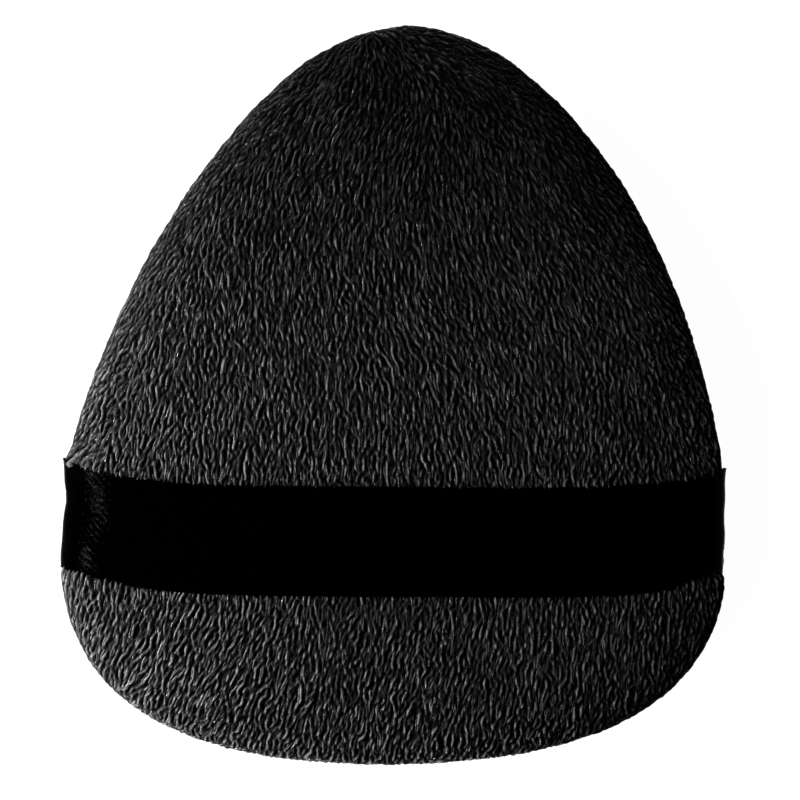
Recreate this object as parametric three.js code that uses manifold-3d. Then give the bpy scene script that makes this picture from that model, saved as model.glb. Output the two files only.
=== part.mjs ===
// Velour powder puff with a satin finger ribbon, lying on its powder side.
// Millimetres, +Z up, the tip towards +Y. The origin is on the table, under the middle of the puff.
// Two velour panels are sewn together round a foam core. The ribbon crosses the upper panel and both
// of its ends are caught in the seam, so that two fingers can slide under it.

import * as THREE from 'three';
import Module from 'manifold-3d';

// Outline seen from above: a rounded triangle made of one curve from the base to each side and one
// from each side to the tip. A reach says how far a curve runs straight on before it turns.
const LENGTH = 82.4; // tip to base
const WIDTH = 74; // across the widest place
const WIDEST_FROM_BASE = 24.8; // the widest place, measured from the base
const TIP_REACH = 14.6;
const SIDE_REACH = 27.2;
const CORNER_REACH = 17.4;
const BASE_REACH = 23.6;

// Cross-section
const CROWN_FROM_BASE = 34.2; // highest place of both panels, measured from the base
const SEAM_HEIGHT = 8; // seam plane above the table
const CROWN_RISE = 9.6; // ribbon-side crown above the seam plane
const CROWN_FULLNESS = 2.4; // 2 is an ellipse, more is a flatter top with rounder shoulders
const FOOT_RADIUS = 18; // flat patch on the powder side that the puff rests on
const COVER_THICKNESS = 2.4; // knitted backing and standing pile
const SEAM_LAYER = 1.2; // the same panel where the seam presses it flat
const SEAM_ROUND = 2; // height over which each panel rolls in to the seam
const SEAM_DEPTH = 1.6; // how far the seam is drawn in from the widest place

// Ribbon and thread
const RIBBON_WIDTH = 12;
const RIBBON_THICKNESS = 0.35;
const RIBBON_FROM_BASE = 25; // ribbon's middle line on the crown, measured from the base
const RIBBON_END_RISE = 2.6; // its ends are sewn this much nearer to the tip
const RIBBON_RISE_POWER = 4; // the rise stays near the ends
const RIBBON_BED = 0.8; // how deep the ribbon presses into the pile
const RIBBON_FOLD = 1; // radius of its turn into the seam
const RIBBON_TAB = 4; // length held inside the seam
const ALLOWANCE_PAST_RIBBON = 1.6; // seam allowance beyond the ribbon's end
const THREAD = 0.4; // thread diameter
const CLOSING_LENGTH = 30; // hand-sewn turning gap in the base
const CLOSING_PITCH = 2.5; // one whip stitch
const FIT = 0.25; // clearance between neighbours

// Facets
const AROUND = 52;
const DOME_STEPS = 8;
const LINING_STEPS = 6;
const ROLL_STEPS = 3;
const RIBBON_STEPS = 36;
const FOLD_STEPS = 4;
const THREAD_SIDES = 6;
const THREAD_STEP = 4; // length of one facet along a thread
const STITCH_STEPS = 6; // facets of one whip stitch
const SHARE_ERROR = 1e-6; // how closely a place round the outline is found

// Places that follow from the sizes
const base = -LENGTH / 2;
const tip = LENGTH / 2;
const rim = WIDTH / 2;
const centre = new THREE.Vector2(0, base + CROWN_FROM_BASE);
const seamGap = Math.max(THREAD, RIBBON_THICKNESS) + 2 * FIT;
const crown = SEAM_HEIGHT + CROWN_RISE;
const upperLip = SEAM_HEIGHT + seamGap / 2;
const lowerLip = SEAM_HEIGHT - seamGap / 2;
const lip = rim - SEAM_DEPTH;
const allowanceEdge = lip - RIBBON_TAB - ALLOWANCE_PAST_RIBBON;
const seamLine = lip - THREAD;
const ribbonMiddle = base + RIBBON_FROM_BASE;
const ribbonEnd = ribbonMiddle + RIBBON_END_RISE;

// Colours
const velour = new THREE.MeshStandardMaterial({ color: 0x1b1b1d, roughness: 0.95, metalness: 0 });
const satin = new THREE.MeshStandardMaterial({ color: 0x070708, roughness: 0.4, metalness: 0 });
const foam = new THREE.MeshStandardMaterial({ color: 0xefe9dc, roughness: 0.9, metalness: 0 });
const cotton = new THREE.MeshStandardMaterial({ color: 0x101011, roughness: 0.7, metalness: 0 });

const outline = makeOutline();
const outlinePoints = outline.getSpacedPoints(AROUND).slice(0, AROUND);
const wasm = await Module();
wasm.setup();

// The puff's edge, anticlockwise from the middle of the base
function makeOutline() {
  const side = base + WIDEST_FROM_BASE;
  const path = new THREE.Path();
  path.moveTo(0, base);
  path.bezierCurveTo(BASE_REACH, base, rim, side - CORNER_REACH, rim, side);
  path.bezierCurveTo(rim, side + SIDE_REACH, TIP_REACH, tip, 0, tip);
  path.bezierCurveTo(-TIP_REACH, tip, -rim, side + SIDE_REACH, -rim, side);
  path.bezierCurveTo(-rim, side - CORNER_REACH, -BASE_REACH, base, 0, base);
  return path;
}

// A place on the outline shrunk towards the crown. A radius equal to rim is the outline itself.
function shrunk(point, radius) {
  return point.clone().sub(centre).multiplyScalar(radius / rim).add(centre);
}

// How far round the outline, from 0 at the base to 0.5 at the tip, its right side reaches a height y
function shareAt(y, radius) {
  let low = 0;
  let high = 0.5;
  while (high - low > SHARE_ERROR) {
    const middle = (low + high) / 2;
    if (shrunk(outline.getPointAt(middle), radius).y < y) low = middle;
    else high = middle;
  }
  return low;
}

// Quarter of a superellipse from the rim, where it is upright, to the crown or foot, where it is level
function dome(rimRadius, rimHeight, topRadius, topHeight, steps) {
  const points = [];
  for (let i = 0; i <= steps; i += 1) {
    const angle = (i / steps) * (Math.PI / 2);
    const out = Math.max(Math.cos(angle), 0) ** (2 / CROWN_FULLNESS);
    const up = Math.sin(angle) ** (2 / CROWN_FULLNESS);
    const radius = i === steps ? topRadius : topRadius + (rimRadius - topRadius) * out;
    points.push([radius, rimHeight + (topHeight - rimHeight) * up]);
  }
  return points;
}

// The panel's edge rolling in from the rim to the lip of the seam
function roll(rimHeight, lipHeight) {
  const points = [];
  for (let i = 1; i <= ROLL_STEPS; i += 1) {
    const angle = (i / ROLL_STEPS) * (Math.PI / 2);
    const height = rimHeight + (lipHeight - rimHeight) * Math.sin(angle);
    points.push([lip + SEAM_DEPTH * Math.cos(angle), height]);
  }
  return points;
}

// A closed body from a section of [radius, height] points that starts on the axis, goes out and comes
// back to the axis below. Each point becomes a ring with the puff's outline.
function sweepSection(section) {
  const positions = [];
  const triangles = [];
  const rings = section.map(([radius, height]) => {
    const first = positions.length / 3;
    const places = radius === 0 ? [centre] : outlinePoints.map((point) => shrunk(point, radius));
    places.forEach((place) => positions.push(place.x, place.y, height));
    return { first, count: places.length };
  });
  for (let k = 0; k + 1 < rings.length; k += 1) {
    const upper = rings[k];
    const lower = rings[k + 1];
    for (let i = 0; i < AROUND; i += 1) {
      const next = (i + 1) % AROUND;
      const a = upper.first + (upper.count === 1 ? 0 : i);
      const b = upper.first + (upper.count === 1 ? 0 : next);
      const c = lower.first + (lower.count === 1 ? 0 : i);
      const d = lower.first + (lower.count === 1 ? 0 : next);
      if (lower.count > 1) triangles.push(a, c, d);
      if (upper.count > 1) triangles.push(a, d, b);
    }
  }
  return bufferGeometry(positions, triangles);
}

function bufferGeometry(positions, triangles) {
  const geometry = new THREE.BufferGeometry();
  geometry.setAttribute('position', new THREE.Float32BufferAttribute(positions, 3));
  geometry.setIndex(Array.from(triangles));
  geometry.computeVertexNormals();
  return geometry;
}

function toSolid(geometry) {
  const vertProperties = new Float32Array(geometry.attributes.position.array);
  const triVerts = new Uint32Array(geometry.index.array);
  return new wasm.Manifold(new wasm.Mesh({ numProp: 3, vertProperties, triVerts }));
}

function cut(geometry, tool) {
  const mesh = toSolid(geometry).subtract(toSolid(tool)).getMesh();
  return bufferGeometry(Array.from(mesh.vertProperties), mesh.triVerts);
}

// Upper velour panel, with the bed that the ribbon presses into its pile
function ribbonSideCover() {
  const rimHeight = upperLip + SEAM_ROUND;
  const flange = upperLip + SEAM_LAYER;
  const outside = dome(rim, rimHeight, 0, crown, DOME_STEPS).reverse();
  const lining = dome(rim - COVER_THICKNESS, flange, 0, crown - COVER_THICKNESS, LINING_STEPS);
  const hem = [[allowanceEdge, upperLip], [allowanceEdge, flange]];
  const cover = sweepSection([...outside, ...roll(rimHeight, upperLip), ...hem, ...lining]);
  const above = RIBBON_BED + COVER_THICKNESS;
  return cut(cover, ribbonBand(RIBBON_THICKNESS / 2 + FIT, above, RIBBON_WIDTH / 2 + FIT));
}

// Lower velour panel, flat where the puff rests
function powderSideCover() {
  const rimHeight = lowerLip - SEAM_ROUND;
  const flange = lowerLip - SEAM_LAYER;
  const outside = dome(rim, rimHeight, FOOT_RADIUS, 0, DOME_STEPS);
  const lining = dome(rim - COVER_THICKNESS, flange, FOOT_RADIUS, COVER_THICKNESS, LINING_STEPS);
  const hem = [[allowanceEdge, flange], [allowanceEdge, lowerLip]];
  const floor = [0, COVER_THICKNESS];
  const edge = roll(rimHeight, lowerLip).reverse();
  return sweepSection([floor, ...lining.reverse(), ...hem, ...edge, ...outside, [0, 0]]);
}

// Foam that fills both panels, slotted round its edge for the seam allowance
function foamCore() {
  const inset = COVER_THICKNESS + FIT;
  const slotTop = upperLip + SEAM_LAYER + FIT;
  const slotFloor = lowerLip - SEAM_LAYER - FIT;
  const slotEdge = allowanceEdge - FIT;
  const upper = dome(rim - inset, slotTop, 0, crown - inset, LINING_STEPS).reverse();
  const lower = dome(rim - inset, slotFloor, FOOT_RADIUS, inset, LINING_STEPS);
  return sweepSection([...upper, [slotEdge, slotTop], [slotEdge, slotFloor], ...lower, [0, inset]]);
}

// Half the width of the puff where the ribbon's ends are sewn
function ribbonSpan() {
  const low = shareAt(ribbonEnd - RIBBON_WIDTH / 2, rim);
  const high = shareAt(ribbonEnd + RIBBON_WIDTH / 2, rim);
  let widest = 0;
  for (let i = 0; i <= RIBBON_STEPS; i += 1) {
    const point = outline.getPointAt(THREE.MathUtils.lerp(low, high, i / RIBBON_STEPS));
    widest = Math.max(widest, point.x);
  }
  return widest;
}

// Where the right tab of the ribbon ends inside the seam
function tabEnd() {
  return ribbonSpan() * (lip / rim) - RIBBON_TAB;
}

// Middle line of the ribbon from its right tab over the crown to its left tab. Each station has its
// place across the puff, its height, how far it has risen towards the tip, and the direction that
// faces away from the puff.
function ribbonStations() {
  const lift = RIBBON_THICKNESS / 2 + FIT - RIBBON_BED;
  const side = ribbonSpan() + lift;
  const shoulder = SEAM_HEIGHT + RIBBON_FOLD;
  const half = [{ x: tabEnd(), z: SEAM_HEIGHT, rise: RIBBON_END_RISE, out: [0, -1] }];
  for (let i = 0; i < FOLD_STEPS; i += 1) {
    const angle = (i / FOLD_STEPS) * (Math.PI / 2);
    const out = [Math.sin(angle), -Math.cos(angle)];
    const x = side + RIBBON_FOLD * (out[0] - 1);
    half.push({ x, z: shoulder + RIBBON_FOLD * out[1], rise: RIBBON_END_RISE, out });
  }
  const arch = dome(side, shoulder, 0, crown + lift, RIBBON_STEPS / 2);
  arch.forEach(([x, z], i) => {
    const before = arch[Math.max(i - 1, 0)];
    const after = arch[i + 1] ?? [-before[0], before[1]];
    const along = new THREE.Vector2(after[0] - before[0], after[1] - before[1]).normalize();
    const rise = RIBBON_END_RISE * (x / side) ** RIBBON_RISE_POWER;
    half.push({ x, z, rise, out: i === 0 ? [1, 0] : [along.y, -along.x] });
  });
  const mirrored = half.slice(0, -1).reverse().map((station) => {
    const { x, out } = station;
    return { ...station, x: -x, out: [-out[0], out[1]] };
  });
  return [...half, ...mirrored];
}

// A band along the ribbon's line, from under it to over it
function ribbonBand(under, over, halfWidth) {
  const stations = ribbonStations();
  const section = [[-under, -1], [over, -1], [over, 1], [-under, 1]];
  const corners = section.length;
  const positions = [];
  const triangles = [];
  stations.forEach(({ x, z, rise, out }) => {
    section.forEach(([depth, across]) => {
      const y = ribbonMiddle + rise + across * halfWidth;
      positions.push(x + out[0] * depth, y, z + out[1] * depth);
    });
  });
  const last = (stations.length - 1) * corners;
  for (let first = 0; first < last; first += corners) {
    for (let i = 0; i < corners; i += 1) {
      const next = (i + 1) % corners;
      triangles.push(first + i, first + corners + next, first + corners + i);
      triangles.push(first + i, first + next, first + corners + next);
    }
  }
  triangles.push(0, 2, 1, 0, 3, 2);
  triangles.push(last, last + 1, last + 2, last, last + 2, last + 3);
  return bufferGeometry(positions, triangles);
}

function fingerRibbon() {
  return ribbonBand(RIBBON_THICKNESS / 2, RIBBON_THICKNESS / 2, RIBBON_WIDTH / 2);
}

function threadAlong(points, steps) {
  const section = new THREE.Shape();
  for (let i = 0; i < THREAD_SIDES; i += 1) {
    const angle = (i / THREAD_SIDES) * 2 * Math.PI;
    const place = [(THREAD / 2) * Math.cos(angle), (THREAD / 2) * Math.sin(angle)];
    if (i === 0) section.moveTo(...place);
    else section.lineTo(...place);
  }
  section.closePath();
  const extrudePath = new THREE.CatmullRomCurve3(points);
  return new THREE.ExtrudeGeometry(section, { steps, extrudePath, bevelEnabled: false });
}

// Place in the seam, some share of the way round from the base
function seamPlace(share, radius, height) {
  const place = shrunk(outline.getPointAt(THREE.MathUtils.euclideanModulo(share, 1)), radius);
  return new THREE.Vector3(place.x, place.y, height);
}

// Machine-sewn run of the edge seam between two shares of the way round
function seamThread(from, to) {
  const steps = Math.ceil(((to - from) * outline.getLength()) / THREAD_STEP);
  const points = [];
  for (let i = 0; i <= steps; i += 1) {
    points.push(seamPlace(THREE.MathUtils.lerp(from, to, i / steps), seamLine, SEAM_HEIGHT));
  }
  return threadAlong(points, steps);
}

// Hand-sewn whip stitch over the turning gap. It rises and falls between the two rolled edges.
function closingThread(half) {
  const depth = SEAM_DEPTH / 2;
  const edge = seamGap / 2 + SEAM_ROUND * (1 - Math.sqrt(1 - (depth / SEAM_DEPTH) ** 2));
  const swing = edge - FIT - THREAD / 2;
  const stitches = Math.round(CLOSING_LENGTH / CLOSING_PITCH);
  const steps = stitches * STITCH_STEPS;
  const points = [];
  for (let i = 0; i <= steps; i += 1) {
    const height = SEAM_HEIGHT + swing * Math.sin((i / STITCH_STEPS) * 2 * Math.PI);
    points.push(seamPlace(THREE.MathUtils.lerp(-half, half, i / steps), lip + depth, height));
  }
  return threadAlong(points, steps);
}

// Back stitch across a ribbon end, just past the tab
function ribbonTack(side) {
  const x = side * (tabEnd() - FIT - THREAD / 2);
  const ends = [-1, 1].map((end) => ribbonEnd + (end * RIBBON_WIDTH) / 2);
  return threadAlong(ends.map((y) => new THREE.Vector3(x, y, SEAM_HEIGHT)), 1);
}

const puff = new THREE.Group();

function add(name, geometry, material) {
  const mesh = new THREE.Mesh(geometry, material);
  mesh.name = name;
  puff.add(mesh);
}

add('ribbon_side_cover', ribbonSideCover(), velour);
add('powder_side_cover', powderSideCover(), velour);
add('foam_core', foamCore(), foam);
add('finger_ribbon', fingerRibbon(), satin);

const closing = CLOSING_LENGTH / 2 / outline.getLength();
const start = closing + THREAD / outline.getLength();
const belowRibbon = shareAt(ribbonEnd - RIBBON_WIDTH / 2 - FIT, seamLine);
const aboveRibbon = shareAt(ribbonEnd + RIBBON_WIDTH / 2 + FIT, seamLine);
add('tip_seam_thread', seamThread(aboveRibbon, 1 - aboveRibbon), cotton);
add('right_base_seam_thread', seamThread(start, belowRibbon), cotton);
add('left_base_seam_thread', seamThread(1 - belowRibbon, 1 - start), cotton);
add('closing_seam_thread', closingThread(closing), cotton);
add('left_ribbon_tack', ribbonTack(-1), cotton);
add('right_ribbon_tack', ribbonTack(1), cotton);

export default puff;
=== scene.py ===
# %% [markdown]
# # A velour powder puff with a satin finger ribbon
# The real puff is two velour panels sewn face to face, turned right side out over a foam core and closed
# by hand. A satin ribbon crosses one panel and is caught in the seam at both ends. This lesson dresses the
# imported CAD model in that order: the bodies and joints stay the CAD model's own, and every soft solid is
# replaced by a piece of cloth, pile, ribbon, thread or foam that sits where the solid is.

# %% Load the frame
import math

import bmesh
import bpy
import numpy as np
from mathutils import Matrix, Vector, noise
from mathutils.bvhtree import BVHTree
from mathutils.geometry import interpolate_bezier


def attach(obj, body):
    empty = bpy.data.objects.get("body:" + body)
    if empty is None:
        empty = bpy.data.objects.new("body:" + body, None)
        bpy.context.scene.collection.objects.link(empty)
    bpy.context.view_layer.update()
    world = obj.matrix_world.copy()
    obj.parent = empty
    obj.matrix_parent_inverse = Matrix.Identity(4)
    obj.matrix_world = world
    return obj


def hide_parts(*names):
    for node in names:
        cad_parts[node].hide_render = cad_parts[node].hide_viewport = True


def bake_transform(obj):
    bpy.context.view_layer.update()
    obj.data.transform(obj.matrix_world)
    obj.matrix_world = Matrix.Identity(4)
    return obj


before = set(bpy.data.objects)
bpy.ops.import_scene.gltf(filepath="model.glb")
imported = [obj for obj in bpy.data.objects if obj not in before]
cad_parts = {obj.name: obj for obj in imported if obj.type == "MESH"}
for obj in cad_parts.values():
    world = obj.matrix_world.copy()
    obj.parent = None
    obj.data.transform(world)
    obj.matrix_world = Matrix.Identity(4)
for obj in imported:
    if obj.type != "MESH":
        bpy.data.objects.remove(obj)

MM = 0.001
scene = bpy.context.scene
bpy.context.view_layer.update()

# %% [markdown]
# ## Camera
# The photograph looks straight down on the ribbon side, with the tip up and the puff turned by less than a
# degree. A long lens keeps the sides upright. A view this wide at the rim of the puff has to fill the
# picture, and that gives the camera's height.

# %% Camera over the puff
VIEW_WIDTH = 88.9 * MM
RIM_HEIGHT = 9.5 * MM
LENS_MM = 240.0
AIM = (0.9 * MM, -0.45 * MM)
TURN_DEGREES = -0.8

camera_data = bpy.data.cameras.new("camera")
camera_data.lens = LENS_MM
camera_data.clip_start = 10 * MM
camera = bpy.data.objects.new("camera", camera_data)
camera_distance = VIEW_WIDTH * LENS_MM / camera_data.sensor_width
camera.location = (*AIM, RIM_HEIGHT + camera_distance)
camera.rotation_euler = (0, 0, math.radians(TURN_DEGREES))
scene.collection.objects.link(camera)
scene.camera = camera
print("camera height in mm", round(camera.location.z / MM, 1))

# %% [markdown]
# ## Studio
# A black pile only shows where light grazes it. A soft lamp stands low on the left, close enough that its
# light falls off across the puff, two lamps further out graze the left edge and a weak one grazes the tip.
# Two high lamps fill the face, and a small one on the left gives the satin its glare. The sky is dim, and
# the table's paint is dark enough to throw little light back up. A camera, glossy or transmission ray also
# meets a white glow there, so that the background is white without more light on the puff, and what the
# lamps add leaves the puff's shadow on it.

# %% Lamps and sky
WHITE = (1.0, 1.0, 1.0, 1.0)
SKY_STRENGTH = 0.01
# Name, place, aim and width in metres, and watts.
LAMPS = (
    ("left_lamp", (-0.11, -0.05, 0.05), (-0.01, -0.01, 0.01), 0.05, 0.37),
    ("upper_edge_lamp", (-0.185, 0.08, 0.017), (-0.03, 0.0, 0.01), 0.03, 1.0),
    ("lower_edge_lamp", (-0.185, -0.09, 0.017), (-0.03, 0.0, 0.01), 0.03, 2.2),
    ("tip_lamp", (0.02, 0.22, 0.017), (0.0, 0.04, 0.01), 0.03, 0.17),
    ("back_lamp", (-0.22, 0.12, 0.30), (0.0, 0.0, 0.01), 0.05, 1.6),
    ("front_lamp", (-0.15, -0.20, 0.35), (0.0, 0.0, 0.01), 0.05, 0.28),
    ("glare_lamp", (-0.207, -0.0165, 0.114), (-0.02, -0.01, 0.012), 0.01, 0.5),
)

scene.view_settings.view_transform = "Standard"
scene.world = bpy.data.worlds.new("dim_sky")
scene.world.use_nodes = True
sky = scene.world.node_tree.nodes["Background"]
sky.inputs["Color"].default_value = WHITE
sky.inputs["Strength"].default_value = SKY_STRENGTH


def add_lamp(name, place, aim, size, watts):
    data = bpy.data.lights.new(name, "AREA")
    data.shape = "DISK"
    data.size = size
    data.energy = watts
    lamp = bpy.data.objects.new(name, data)
    lamp.location = place
    lamp.rotation_euler = (Vector(aim) - Vector(place)).to_track_quat("-Z", "Y").to_euler()
    scene.collection.objects.link(lamp)


for lamp in LAMPS:
    add_lamp(*lamp)


# %% Helpers for materials
def new_material(name):
    """A material with a Principled BSDF, and what is needed to add nodes to it."""
    material = bpy.data.materials.new(name)
    material.use_nodes = True
    tree = material.node_tree
    return material, tree.nodes, tree.links, tree.nodes["Principled BSDF"]


def calculate(nodes, links, operation, *values):
    """A Math node. Each value is a number or the socket that gives it."""
    node = nodes.new("ShaderNodeMath")
    node.operation = operation
    for socket, value in zip(node.inputs, values):
        if isinstance(value, bpy.types.NodeSocket):
            links.new(value, socket)
        else:
            socket.default_value = value
    return node.outputs[0]


def spread_over(nodes, links, value, low, high, start=0.0, end=1.0):
    """Stretches a value that runs from start to end, so that it runs from low to high."""
    node = nodes.new("ShaderNodeMapRange")
    for name, number in (("From Min", start), ("From Max", end), ("To Min", low), ("To Max", high)):
        node.inputs[name].default_value = number
    links.new(value, node.inputs["Value"])
    return node.outputs["Result"]


def sine_wave(nodes, links, value, pitch):
    """A wave between -1 and 1 with this pitch."""
    turns = calculate(nodes, links, "MULTIPLY", value, math.tau / pitch)
    return calculate(nodes, links, "SINE", turns)


def grade_colour(nodes, links, shader, value, dark, light):
    """Base colours between dark and light, chosen by a value from 0 to 1."""
    node = nodes.new("ShaderNodeValToRGB")
    node.color_ramp.elements[0].color = (*dark, 1.0)
    node.color_ramp.elements[1].color = (*light, 1.0)
    links.new(value, node.inputs["Fac"])
    links.new(node.outputs["Color"], shader.inputs["Base Color"])


def grade_roughness(nodes, links, shader, value, low, high):
    """Roughness that runs from low to high, as a value runs from 0 to 1."""
    links.new(spread_over(nodes, links, value, low, high), shader.inputs["Roughness"])


def raise_surface(nodes, links, shader, height, depth):
    """Bump of this depth in metres on a shader."""
    node = nodes.new("ShaderNodeBump")
    node.inputs["Strength"].default_value = 1.0
    node.inputs["Distance"].default_value = depth
    links.new(height, node.inputs["Height"])
    links.new(node.outputs["Normal"], shader.inputs["Normal"])


# %% Pale table
TABLE_SIZE = 3.0
TABLE_GLOW = 0.98
TABLE_COLOUR = (0.1, 0.1, 0.1, 1.0)

table_mesh = bpy.data.meshes.new("table")
bm = bmesh.new()
bmesh.ops.create_grid(bm, x_segments=1, y_segments=1, size=TABLE_SIZE / 2)
bm.to_mesh(table_mesh)
bm.free()
table = bpy.data.objects.new("table", table_mesh)
scene.collection.objects.link(table)

table_paint, nodes, links, paint = new_material("table_paint")
paint.inputs["Base Color"].default_value = TABLE_COLOUR
paint.inputs["Roughness"].default_value = 0.9
paint.inputs["Specular IOR Level"].default_value = 0.0
rays = nodes.new("ShaderNodeLightPath").outputs
seen = calculate(nodes, links, "MAXIMUM", rays["Is Camera Ray"], rays["Is Glossy Ray"])
seen = calculate(nodes, links, "MAXIMUM", seen, rays["Is Transmission Ray"])
glow = calculate(nodes, links, "MULTIPLY", seen, TABLE_GLOW)
paint.inputs["Emission Color"].default_value = WHITE
links.new(glow, paint.inputs["Emission Strength"])
table.data.materials.append(table_paint)
print("table", TABLE_SIZE, "m wide")

# %% [markdown]
# ## Outline
# The panels are cut to a rounded triangle: one curve runs from the base to each side and one from each side
# to the tip. The reaches differ a little from the CAD model's own, because the pile rounds the edge off and
# the sewn tip is fuller. The puff leans to the right at its tip, as hand-turned puffs do, and every piece
# below leans with it.

# %% The edge of the puff
LENGTH = 82.7 * MM
WIDTH = 74.2 * MM
WIDEST_FROM_BASE = 24.9 * MM
TIP_REACH = 18.8 * MM
SIDE_REACH = 23.2 * MM
CORNER_REACH = 20.9 * MM
BASE_REACH = 17.7 * MM
CROWN_FROM_BASE = 34.1 * MM
TIP_LEAN = 2.1 * MM
LEAN_FROM, LEAN_TO = -16.0 * MM, 34.0 * MM
CURVE_STEPS = 200

base, tip, rim = -LENGTH / 2, LENGTH / 2, WIDTH / 2
side = base + WIDEST_FROM_BASE
centre = np.array((0.0, base + CROWN_FROM_BASE))


def smooth_step(low, high, value):
    t = np.clip((value - low) / (high - low), 0.0, 1.0)
    return t * t * (3 - 2 * t)


def lean(y):
    """How far a place at this y is pushed to the right."""
    return TIP_LEAN * smooth_step(LEAN_FROM, LEAN_TO, y)


def right_half():
    """Points from the middle of the base up the right side to the tip."""
    corner = (rim, side - CORNER_REACH)
    lower = interpolate_bezier((0, base), (BASE_REACH, base), corner, (rim, side), CURVE_STEPS)
    shoulder = (rim, side + SIDE_REACH)
    upper = interpolate_bezier((rim, side), shoulder, (TIP_REACH, tip), (0, tip), CURVE_STEPS)
    return np.array([*lower, *upper[1:]])


def run_along(line):
    """Distance along a line, at each of its places."""
    return np.concatenate(([0.0], np.cumsum(np.linalg.norm(np.diff(line, axis=0), axis=1))))


half_line = right_half()
left_line = half_line[-2:0:-1] * (-1, 1)
cut_line = np.vstack((half_line, left_line))
closed_line = np.vstack((cut_line, cut_line[:1]))
cut_length = run_along(closed_line)


def outline_at(share):
    """Places on the edge, some share of the way round from the base, before the lean."""
    along = np.mod(share, 1.0) * cut_length[-1]
    return np.stack([np.interp(along, cut_length, closed_line[:, k]) for k in range(2)], axis=-1)


print("edge in mm", round(cut_length[-1] / MM, 1))

# %% [markdown]
# ## Blank for the stuffed puff
# A stuffed shape is easiest to get by stuffing it: a slightly flat closed bag is made first, and Blender's
# cloth pumps it up. The bag starts as a circle that is moved onto the edge and extruded ring by ring up to
# the crown and down to the foot. A voxel remesh then gives it even faces, which cloth likes.

# %% Extrude the bag
PILE_DEPTH = 0.6 * MM
SWELL = 0.5 * MM
SEAM_HEIGHT = 8.0 * MM
SEAM_GAP = 0.9 * MM
SEAM_ROUND = 2.0 * MM
CROWN_RISE = 9.6 * MM
CROWN_FULLNESS = 2.4
FOOT_RADIUS = 18.0 * MM
FOOT_HEIGHT = 0.6 * MM
AROUND = 120
DOME_STEPS = 14
BAG_FACE = 1.1 * MM

crown = SEAM_HEIGHT + CROWN_RISE
upper_rim = SEAM_HEIGHT + SEAM_GAP / 2 + SEAM_ROUND
lower_rim = SEAM_HEIGHT - SEAM_GAP / 2 - SEAM_ROUND
shares = np.arange(AROUND) / AROUND


def dome(angle):
    """A quarter superellipse: how far out and how far up, at an angle from the rim to the crown."""
    return max(math.cos(angle), 0.0) ** (2 / CROWN_FULLNESS), math.sin(angle) ** (2 / CROWN_FULLNESS)


def place_ring(ring, radius, height):
    places = centre + (outline_at(shares) - centre) * (radius / rim)
    for vertex, (x, y) in zip(ring, places):
        vertex.co = (x, y, height)


def extrude_ring(bm, ring):
    """Extrudes an edge loop and returns the new loop in the same order."""
    edges = [bm.edges.get((a, b)) for a, b in zip(ring, ring[1:] + ring[:1])]
    made = bmesh.ops.extrude_edge_only(bm, edges=edges)["geom"]
    new = {v for v in made if isinstance(v, bmesh.types.BMVert)}
    return [next(e.other_vert(v) for e in v.link_edges if e.other_vert(v) in new) for v in ring]


bag_rim = rim - PILE_DEPTH
bag_crown = crown - PILE_DEPTH - SWELL
foot_radius = FOOT_RADIUS - PILE_DEPTH
bm = bmesh.new()
start_ring = bmesh.ops.create_circle(bm, cap_ends=False, segments=AROUND, radius=rim)["verts"]
place_ring(start_ring, bag_rim, upper_rim)
ring = start_ring
for step in range(1, DOME_STEPS):
    out, up = dome(step / DOME_STEPS * math.pi / 2)
    ring = extrude_ring(bm, ring)
    place_ring(ring, bag_rim * out, upper_rim + (bag_crown - upper_rim) * up)
bmesh.ops.contextual_create(bm, geom=ring)
ring = extrude_ring(bm, start_ring)
place_ring(ring, bag_rim, lower_rim)
for step in range(1, DOME_STEPS):
    out, up = dome(step / DOME_STEPS * math.pi / 2)
    ring = extrude_ring(bm, ring)
    radius = foot_radius + (bag_rim - foot_radius) * out
    place_ring(ring, radius, lower_rim + (FOOT_HEIGHT - lower_rim) * up)
bmesh.ops.contextual_create(bm, geom=ring)
bmesh.ops.recalc_face_normals(bm, faces=bm.faces)
bag_mesh = bpy.data.meshes.new("bag")
bm.to_mesh(bag_mesh)
bm.free()
bag = bpy.data.objects.new("bag", bag_mesh)
scene.collection.objects.link(bag)
print("bag faces", len(bag_mesh.polygons))


# %% Even faces and the lean
def finished_mesh(obj, name):
    """The mesh that an object's modifiers make."""
    depsgraph = bpy.context.evaluated_depsgraph_get()
    depsgraph.update()
    mesh = bpy.data.meshes.new_from_object(obj.evaluated_get(depsgraph))
    mesh.name = name
    return mesh


def get_places(mesh):
    places = np.empty(len(mesh.vertices) * 3, dtype=np.float32)
    mesh.vertices.foreach_get("co", places)
    return places.reshape(-1, 3).astype(float)


def set_places(mesh, places):
    mesh.vertices.foreach_set("co", np.asarray(places, dtype=np.float32).ravel())
    mesh.update()


def swap_mesh(obj, mesh):
    old = obj.data
    obj.modifiers.clear()
    obj.data = mesh
    bpy.data.meshes.remove(old)


def remesh(obj, face):
    """Gives an object even faces of about this size."""
    even = obj.modifiers.new("even_faces", "REMESH")
    even.mode = "VOXEL"
    even.voxel_size = face
    swap_mesh(obj, finished_mesh(obj, obj.name))


remesh(bag, BAG_FACE)
places = get_places(bag.data)
places[:, 0] += lean(places[:, 1])
set_places(bag.data, places)
print("even bag faces", len(bag.data.polygons))

# %% [markdown]
# ## Ribbon line
# The ribbon runs from a tab inside the seam, round a small fold, over the puff and back into the seam on the
# other side. Its ends are sewn nearer to the tip, the left one a little more than the right one, which gives
# the smile seen from above. The whole ribbon is sewn about a degree askew, and the bag gets its bed where the
# ribbon really lies.

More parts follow.
